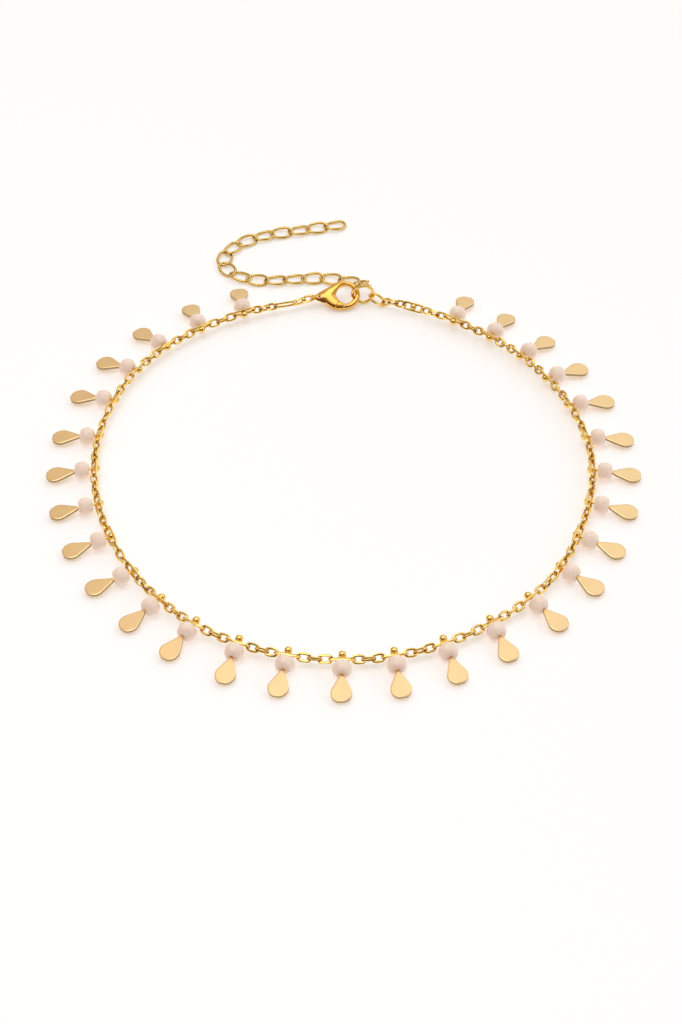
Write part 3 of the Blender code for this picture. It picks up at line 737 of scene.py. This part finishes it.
class ANKLET_OT_ball_pins(bpy.types.Operator):
    """Make the ball pins with their teardrop paddles"""
    bl_idname = "anklet.ball_pins"
    bl_label = "Ball pins and paddles"

    def execute(self, context):
        drop = context.scene.anklet_drop
        colours = context.scene.anklet_colours
        pin = pin_pattern(drop)
        paddle = paddle_pattern(
            drop.paddle_length / MM, drop.paddle_width / MM, drop.paddle_neck / MM,
            drop.paddle_thickness / MM,
        )
        balls = bmesh.new()
        paddles = bmesh.new()
        for number in range(len(DROPS)):
            place = pin_frame(number)
            stamp(balls, pin, place)
            neck = BEAD_FACE + FIT_GAP + DROPS[number][2] * BEAD_FACE * 2
            stamp(paddles, paddle, place @ Matrix.Translation((neck, 0, 0)))
        gold = polished_gold("pin_gold", tuple(colours.gold), 0.13)
        satin = satin_gold("satin_gold", tuple(colours.satin))
        piece = finished("ball_pins", balls, [gold])
        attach(piece, "anklet")
        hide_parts(*DROP_NODES)
        # Painted shade and highlight: the sheared edges get a copy of the satin darkened to 0.42, and the
        # rim gets a copy lightened a little.
        sheared = satin_gold("painted_shade_edge_gold", shade(colours.satin, 0.42))
        rim = satin_gold("painted_highlight_rim_gold", shade(colours.satin, 1.04))
        piece = finished("paddles", paddles, [rim, satin, sheared], 12.0)
        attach(piece, "anklet")
        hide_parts(*DROP_NODES)
        return {"FINISHED"}


def clasp_outline(turn):
    """The clasp's outer radius in a direction from the hook's centre."""
    small = TAIL_END_RADIUS
    contact = math.acos((small - HOOK_RADIUS) / TAIL_DISTANCE)
    if abs(turn) <= contact:
        return HOOK_RADIUS
    turn = abs(turn)
    ray = Vector((math.cos(turn), math.sin(turn)))
    start = HOOK_RADIUS * Vector((math.cos(contact), math.sin(contact)))
    normal = Vector((math.cos(contact), math.sin(contact)))
    straight = start.dot(normal) / ray.dot(normal) if ray.dot(normal) > 0.05 else 99.0
    centre = Vector((-TAIL_DISTANCE, 0))
    half = ray.dot(centre)
    inside = half * half - centre.length_squared + small * small
    rounded = half + math.sqrt(inside) if inside > 0 else 99.0
    return min(straight, rounded) if inside > 0 else straight


# How much fuller the clasp is than its plain outline: in a swelling about one turn of its lower side,
# along the whole lower side, and at its nose
SWELLING = 0.50
SWELLING_TURN = -2.42
SWELLING_WIDTH = 0.55
LOWER_FULLNESS = 0.14
NOSE_FULLNESS = 0.24


def clasp_edge(turn):
    """The outer radius with the fuller lower side and nose."""
    swelling = SWELLING * math.exp(-((turn - SWELLING_TURN) / SWELLING_WIDTH) ** 2)
    fuller = swelling + LOWER_FULLNESS * max(0.0, -math.sin(turn)) ** 2
    return clasp_outline(turn) + fuller + NOSE_FULLNESS * max(0.0, math.cos(turn)) ** 2


def hole_edge(turn, radius):
    """The hole's edge from the hook's centre."""
    across = HOLE_SHIFT * math.sin(turn)
    return HOLE_SHIFT * math.cos(turn) + math.sqrt(radius * radius - across * across)


def clasp_ring(clasp):
    """The clasp's rounded body as a closed ring, before it is cut."""
    shape = wire_ring(1.0, 120, 28)
    thick = clasp.body_thickness / MM / 2
    thin = clasp.hook_thickness / MM / 2
    for vert in shape.verts:
        turn = math.atan2(vert.co.y, vert.co.x)
        around = math.atan2(vert.co.z, math.hypot(vert.co.x, vert.co.y) - 1)
        inner = hole_edge(turn, clasp.hole / MM)
        outer = clasp_edge(turn) + (clasp.hook - HOOK_RADIUS * MM) / MM
        back = max(0.0, min(1.0, (abs(turn) - 1.2) / 1.0))
        back = back * back * (3 - 2 * back)
        high = thin + (thick - thin) * back
        tail = max(0.0, (outer - 3.4) / 1.5)
        x = math.copysign(abs(math.cos(around)) ** 0.75, math.cos(around))
        z = math.copysign(abs(math.sin(around)) ** 0.8, math.sin(around))
        out = (inner + outer) / 2 + (outer - inner) / 2 * x
        slim = (1.0 - 0.55 * tail * max(0.0, x)) * (1.0 - 0.22 * back * (x + 1))
        vert.co = Vector((out * math.cos(turn), out * math.sin(turn), high * z * slim))
    bmesh.ops.recalc_face_normals(shape, faces=shape.faces)
    if shape.calc_volume(signed=True) < 0:
        bmesh.ops.reverse_faces(shape, faces=shape.faces)
    return shape


def polar(radius, turn):
    """A flat point at a distance in a direction."""
    return radius * math.cos(turn), radius * math.sin(turn)


def slab(points, low, high):
    """A flat outline raised from one height to another."""
    shape = bmesh.new()
    face = shape.faces.new([shape.verts.new((x, y, low)) for x, y in points])
    raised = bmesh.ops.extrude_face_region(shape, geom=[face])
    tops = [part for part in raised["geom"] if isinstance(part, bmesh.types.BMVert)]
    bmesh.ops.translate(shape, verts=tops, vec=(0, 0, high - low))
    bmesh.ops.recalc_face_normals(shape, faces=shape.faces)
    return shape


def arc(radius, first, last, steps, centre=(0.0, 0.0)):
    """Points of an arc, with its angles in degrees."""
    turns = [math.radians(first + (last - first) * k / steps) for k in range(steps + 1)]
    return [(centre[0] + radius * math.cos(a), centre[1] + radius * math.sin(a)) for a in turns]


def gate_block(gap):
    """The part of the ring that the lever's arm closes, smaller by a gap."""
    reach = GATE_REACH - gap
    swing = list(reversed(arc(reach, -52, -14, 14, (PIVOT.x, PIVOT.y))))
    return slab([(-1.62 + gap, -1.97), (-0.98 + gap, -1.15)] + swing + [(-2.35 + gap, -3.3)], -1.5, 1.5)


def placed(name, shape):
    """A bmesh as an object in the scene."""
    mesh = bpy.data.meshes.new(name)
    shape.to_mesh(mesh)
    shape.free()
    item = bpy.data.objects.new(name, mesh)
    bpy.context.scene.collection.objects.link(item)
    return item


# A cut that leaves fewer faces than this has failed
FEWEST_FACES = 20


def cut(piece, shape, operation="DIFFERENCE"):
    """Cut a closed bmesh out of a piece, or keep only what lies inside it."""
    bmesh.ops.recalc_face_normals(shape, faces=shape.faces)
    tool = placed("cutter", shape)
    modifier = piece.modifiers.new("cut", "BOOLEAN")
    modifier.operation = operation
    modifier.solver = "EXACT"
    modifier.object = tool
    bpy.context.view_layer.update()
    result = bpy.data.meshes.new_from_object(piece.evaluated_get(bpy.context.evaluated_depsgraph_get()))
    piece.modifiers.clear()
    piece.data = result
    if len(result.polygons) < FEWEST_FACES:
        raise RuntimeError("a cut left nothing of " + piece.name)
    bpy.data.objects.remove(tool, do_unlink=True)


class ANKLET_OT_clasp(bpy.types.Operator):
    """Make the clasp's rounded body"""
    bl_idname = "anklet.clasp"
    bl_label = "Clasp body"

    def execute(self, context):
        clasp = context.scene.anklet_clasp
        gold = polished_gold("clasp_gold", tuple(context.scene.anklet_colours.clasp), 0.2)
        shell = placed("clasp_shell", clasp_ring(clasp))
        room = clasp.lever_thickness / MM / 2 + FIT_GAP
        eye = slab(arc(EYE_RADIUS, 0, 345, 23, (-TAIL_DISTANCE, 0.0)), -1.5, 1.5)
        cut(shell, eye)
        cut(shell, gate_block(0.0))
        cut(shell, slab([(-3.63, -3.4), (-0.87, -3.4), (-0.87, 0.5), (-3.63, 0.4)], -room, room))
        final = bmesh.new()
        final.from_mesh(shell.data)
        bpy.data.objects.remove(shell, do_unlink=True)
        bmesh.ops.create_cone(
            final, cap_ends=True, segments=20, radius1=PIN_RADIUS, radius2=PIN_RADIUS, depth=1.5,
            matrix=Matrix.Translation(PIVOT),
        )
        bmesh.ops.transform(final, matrix=CLASP_FRAME, verts=final.verts)
        piece = finished("clasp_shell", final, [gold], 45.0)
        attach(piece, "anklet")
        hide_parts("clasp_body")
        return {"FINISHED"}


class ANKLET_OT_lever(bpy.types.Operator):
    """Make the clasp's sprung lever"""
    bl_idname = "anklet.lever"
    bl_label = "Clasp lever"

    def execute(self, context):
        clasp = context.scene.anklet_clasp
        gold = polished_gold("lever_gold", tuple(context.scene.anklet_colours.clasp), 0.2)
        half = clasp.lever_thickness / MM / 2
        turns = [math.radians(-156 + 3 * k) for k in range(18)]
        outer = [polar(clasp_edge(t) - 0.06, t) for t in turns]
        inner = [polar(hole_edge(t, clasp.hole / MM) + 0.03, t) for t in reversed(turns)]
        shape = slab(arc(LEVER_END_RADIUS, 60, 240, 10, (PIVOT.x, PIVOT.y)) + outer + inner, -half, half)
        rims = [edge for edge in shape.edges if abs(edge.verts[0].co.z - edge.verts[1].co.z) < 1e-4]
        bmesh.ops.bevel(shape, geom=rims, offset=0.09, segments=3, profile=0.5, affect="EDGES", material=-1)
        head = placed("lever_head", clasp_ring(clasp))
        cut(head, gate_block(FIT_GAP * 2.2), "INTERSECT")
        shape.from_mesh(head.data)
        bpy.data.objects.remove(head, do_unlink=True)
        bmesh.ops.transform(shape, matrix=CLASP_FRAME, verts=shape.verts)
        piece = finished("clasp_lever_arm", shape, [gold], 45.0)
        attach(piece, "lever")
        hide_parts("clasp_lever")
        return {"FINISHED"}


class ANKLET_OT_rings(bpy.types.Operator):
    """Make the end ring and the clasp's small ring"""
    bl_idname = "anklet.rings"
    bl_label = "Rings"

    def execute(self, context):
        clasp = context.scene.anklet_clasp
        gold = polished_gold("ring_gold", tuple(context.scene.anklet_colours.gold), 0.13)
        rows = [
            ("end_ring_wire", "end_ring", END_RING_CENTRE + RING_SHIFT, clasp.end_ring / MM,
             clasp.end_ring_wire / MM, Vector((1, 0, 0)), Vector((0, 0, 1))),
            ("clasp_ring_wire", "clasp_ring", TAIL_RING_CENTRE, clasp.tail_ring / MM,
             clasp.tail_ring_wire / MM, CLASP_ALONG, CLASP_NORMAL),
        ]
        for name, node, centre, diameter, wire, first, second in rows:
            radius = (diameter - wire) / 2
            shape = wire_ring(wire / radius, 64, 16)
            turn = Matrix((first, second, first.cross(second))).transposed().to_4x4()
            place = Matrix.Translation(centre) @ turn @ Matrix.Scale(radius, 4)
            bmesh.ops.transform(shape, matrix=place, verts=shape.verts)
            piece = finished(name, shape, [gold])
            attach(piece, "anklet")
            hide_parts(node)
        return {"FINISHED"}


def extender_joints(pitch):
    """Points one pitch apart along the extender's route."""
    rows = [Vector(row) * ROUTE_SCALE for row in EXTENDER_ROUTE]
    high = math.radians(RING_TOP_ANGLE)
    top = END_RING_CENTRE + RING_SHIFT + END_RING_MEAN * Vector((math.cos(high), 0, math.sin(high)))
    rows.insert(0, top - (rows[0] - top).normalized() * (END_RING_HALF_WIRE + FIT_GAP))
    knots = [2 * rows[0] - rows[1]] + rows + [2 * rows[-1] - rows[-2]]
    points = []
    for k in range(1, len(knots) - 2):
        for step in range(12):
            points.append(spline_value(*knots[k - 1:k + 3], step / 12))
    points.append(knots[-2])
    joints = [points[0]]
    here = 1
    while len(joints) <= EXTENDER_LINKS:
        while here < len(points) and (points[here] - joints[-1]).length < pitch:
            here += 1
        if here >= len(points):
            joints.append(joints[-1] + (points[-1] - points[-2]).normalized() * pitch)
            continue
        low, high = points[here - 1], points[here]
        for _ in range(30):
            middle = (low + high) / 2
            if (middle - joints[-1]).length < pitch:
                low = middle
            else:
                high = middle
        joints.append((low + high) / 2)
    return joints


class ANKLET_OT_extender(bpy.types.Operator):
    """Make the extender's twisted links"""
    bl_idname = "anklet.extender"
    bl_label = "Extender"

    def execute(self, context):
        settings = context.scene.anklet_chain
        pitch = settings.extender_pitch / MM
        wire = settings.extender_wire / MM
        width = settings.extender_width / MM
        length = pitch + 2 * wire
        # Painted shade: the extender's gold is the chain's gold darkened to 0.80.
        gold = polished_gold("extender_shaded_gold", shade(context.scene.anklet_colours.gold, 0.80), 0.15)
        link = lay_along(wire_ring(wire, 44, 12), oval_line(length, width, wire))
        for vert in link.verts:
            vert.co = Matrix.Rotation(math.radians(12) * vert.co.x / (length / 2), 3, "X") @ vert.co
        link = pattern("extender_link", link)
        joints = extender_joints(pitch)
        shape = bmesh.new()
        for k in range(EXTENDER_LINKS):
            along = (joints[k + 1] - joints[k]).normalized()
            side = Vector((0, 0, 1)).cross(along).normalized()
            lean = math.radians(EXTENDER_LEANS[k] if k < len(EXTENDER_LEANS) else EXTENDER_LEANS[-1 - k % 2])
            side = side * math.cos(lean) + along.cross(side) * math.sin(lean)
            stamp(shape, link, between(joints[k], joints[k + 1], side, length, wire))
        piece = finished("extender_links", shape, [gold])
        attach(piece, "anklet")
        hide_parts("extender_chain")
        return {"FINISHED"}


# The camera: focal length and picture height in pixels, angles in degrees, the rest in millimetres
FOCAL_LENGTH = 2450
PICTURE_HEIGHT = 1024
CAMERA_ELEVATION = 44.42
CAMERA_TURN = -0.14
CAMERA_ROLL = -1.34
CAMERA_TARGET = Vector((-0.433, -16.49, 0))
CAMERA_DISTANCE = 380.6
# The direction towards the camera, around which the room is darker
DARK_DIRECTION = (0.0, -0.716, 0.698)


def area_light(name, place, target, size, power):
    """A soft light that points at a spot."""
    light = bpy.data.lights.new(name, "AREA")
    light.shape = "RECTANGLE"
    light.size, light.size_y = size
    light.energy = power
    item = bpy.data.objects.new(name, light)
    item.location = place
    item.rotation_euler = (Vector(target) - Vector(place)).to_track_quat("-Z", "Y").to_euler()
    bpy.context.scene.collection.objects.link(item)


class ANKLET_OT_stage(bpy.types.Operator):
    """Make the camera, the floor and the studio light"""
    bl_idname = "anklet.stage"
    bl_label = "Stage"

    def execute(self, context):
        scene = context.scene
        camera = bpy.data.cameras.new("camera")
        camera.sensor_width = 36.0
        camera.lens = 36.0 * FOCAL_LENGTH / PICTURE_HEIGHT
        camera.clip_start = 0.01
        camera.clip_end = 50.0
        item = bpy.data.objects.new("camera", camera)
        scene.collection.objects.link(item)
        elevation = math.radians(CAMERA_ELEVATION)
        turn = math.radians(CAMERA_TURN)
        roll = math.radians(CAMERA_ROLL)
        back = Vector((
            math.sin(turn) * math.cos(elevation), -math.cos(turn) * math.cos(elevation), math.sin(elevation),
        ))
        right = Vector((math.cos(turn), math.sin(turn), 0))
        up = back.cross(right)
        tilted = math.cos(roll) * right + math.sin(roll) * up
        place = Matrix((tilted, back.cross(tilted), back)).transposed().to_4x4()
        item.matrix_world = Matrix.Translation((CAMERA_TARGET + back * CAMERA_DISTANCE) * MM) @ place
        scene.camera = item

        shape = bmesh.new()
        bmesh.ops.create_grid(shape, x_segments=1, y_segments=1, size=3.0)
        bmesh.ops.translate(shape, verts=shape.verts, vec=(0, 0, -0.00002))
        floor = placed("floor", shape)
        material, tree, shader = new_material("pale_floor")
        shader.inputs["Base Color"].default_value = (*scene.anklet_colours.floor, 1.0)
        shader.inputs["Roughness"].default_value = 0.9
        shader.inputs["Specular IOR Level"].default_value = 0.0
        shader.inputs["Emission Color"].default_value = (1.0, 1.0, 1.0, 1.0)
        shader.inputs["Emission Strength"].default_value = 0.28
        floor.data.materials.append(material)

        world = bpy.data.worlds.new("studio")
        world.use_nodes = True
        scene.world = world
        tree = world.node_tree
        background = tree.nodes["Background"]
        background.inputs["Strength"].default_value = 1.0
        where = tree.nodes.new("ShaderNodeTexCoord")
        split = tree.nodes.new("ShaderNodeSeparateXYZ")
        tree.links.new(where.outputs["Generated"], split.inputs["Vector"])
        height = ramp(tree, split.outputs["Z"], 0.02, 0.44, (0.10, 0.07, 0.045), (1.04, 1.04, 1.04))
        across = tree.nodes.new("ShaderNodeMapRange")
        across.inputs["From Min"].default_value = -0.45
        across.inputs["From Max"].default_value = 0.08
        tree.links.new(split.outputs["X"], across.inputs["Value"])
        side = ramp(tree, across.outputs["Result"], 0.0, 1.0, (0.62, 0.50, 0.40), (1.0, 1.0, 1.0))
        side.color_ramp.interpolation = "EASE"
        toward = tree.nodes.new("ShaderNodeVectorMath")
        toward.operation = "DOT_PRODUCT"
        toward.inputs[1].default_value = DARK_DIRECTION
        tree.links.new(where.outputs["Generated"], toward.inputs[0])
        room = ramp(tree, toward.outputs["Value"], 0.58, 0.80, (1.0, 1.0, 1.0), (0.20, 0.13, 0.07))
        room.color_ramp.interpolation = "EASE"
        first = tree.nodes.new("ShaderNodeVectorMath")
        first.operation = "MULTIPLY"
        tree.links.new(height.outputs["Color"], first.inputs[0])
        tree.links.new(side.outputs["Color"], first.inputs[1])
        product = tree.nodes.new("ShaderNodeVectorMath")
        product.operation = "MULTIPLY"
        tree.links.new(first.outputs["Vector"], product.inputs[0])
        tree.links.new(room.outputs["Color"], product.inputs[1])
        tree.links.new(product.outputs["Vector"], background.inputs["Color"])
        area_light("top_light", (-0.15, -0.15, 0.9), (0, 0, 0), (0.8, 0.65), 2.6)
        scene.view_settings.view_transform = "Standard"
        return {"FINISHED"}


class ANKLET_PT_panel(bpy.types.Panel):
    """Lists the anklet's pieces and sizes"""
    bl_idname = "ANKLET_PT_panel"
    bl_label = "Anklet"
    bl_space_type = "VIEW_3D"
    bl_region_type = "UI"
    bl_category = "Anklet"

    def draw(self, context):
        for operator in OPERATORS:
            self.layout.operator(operator.bl_idname)
        for name in SETTINGS:
            box = self.layout.box()
            group = getattr(context.scene, name)
            for key in type(group).__annotations__:
                box.prop(group, key)


OPERATORS = [
    ANKLET_OT_main_chain, ANKLET_OT_beads, ANKLET_OT_ball_pins, ANKLET_OT_clasp, ANKLET_OT_lever,
    ANKLET_OT_rings, ANKLET_OT_extender, ANKLET_OT_stage,
]
SETTINGS = {
    "anklet_chain": AnkletChainSettings,
    "anklet_drop": AnkletDropSettings,
    "anklet_clasp": AnkletClaspSettings,
    "anklet_colours": AnkletColourSettings,
}


def register():
    """Register the settings, the operators and the panel."""
    for group in SETTINGS.values():
        bpy.utils.register_class(group)
    for name, group in SETTINGS.items():
        setattr(bpy.types.Scene, name, bpy.props.PointerProperty(type=group))
    for operator in OPERATORS:
        bpy.utils.register_class(operator)
    bpy.utils.register_class(ANKLET_PT_panel)


def unregister():
    """Take back what register did."""
    bpy.utils.unregister_class(ANKLET_PT_panel)
    for operator in reversed(OPERATORS):
        bpy.utils.unregister_class(operator)
    for name in SETTINGS:
        delattr(bpy.types.Scene, name)
    for group in reversed(list(SETTINGS.values())):
        bpy.utils.unregister_class(group)


def main():
    """Make every piece."""
    register()
    bpy.ops.anklet.main_chain()
    bpy.ops.anklet.beads()
    bpy.ops.anklet.ball_pins()
    bpy.ops.anklet.clasp()
    bpy.ops.anklet.lever()
    bpy.ops.anklet.rings()
    bpy.ops.anklet.extender()
    bpy.ops.anklet.stage()
    bpy.context.view_layer.update()


if __name__ == "__main__":
    main()
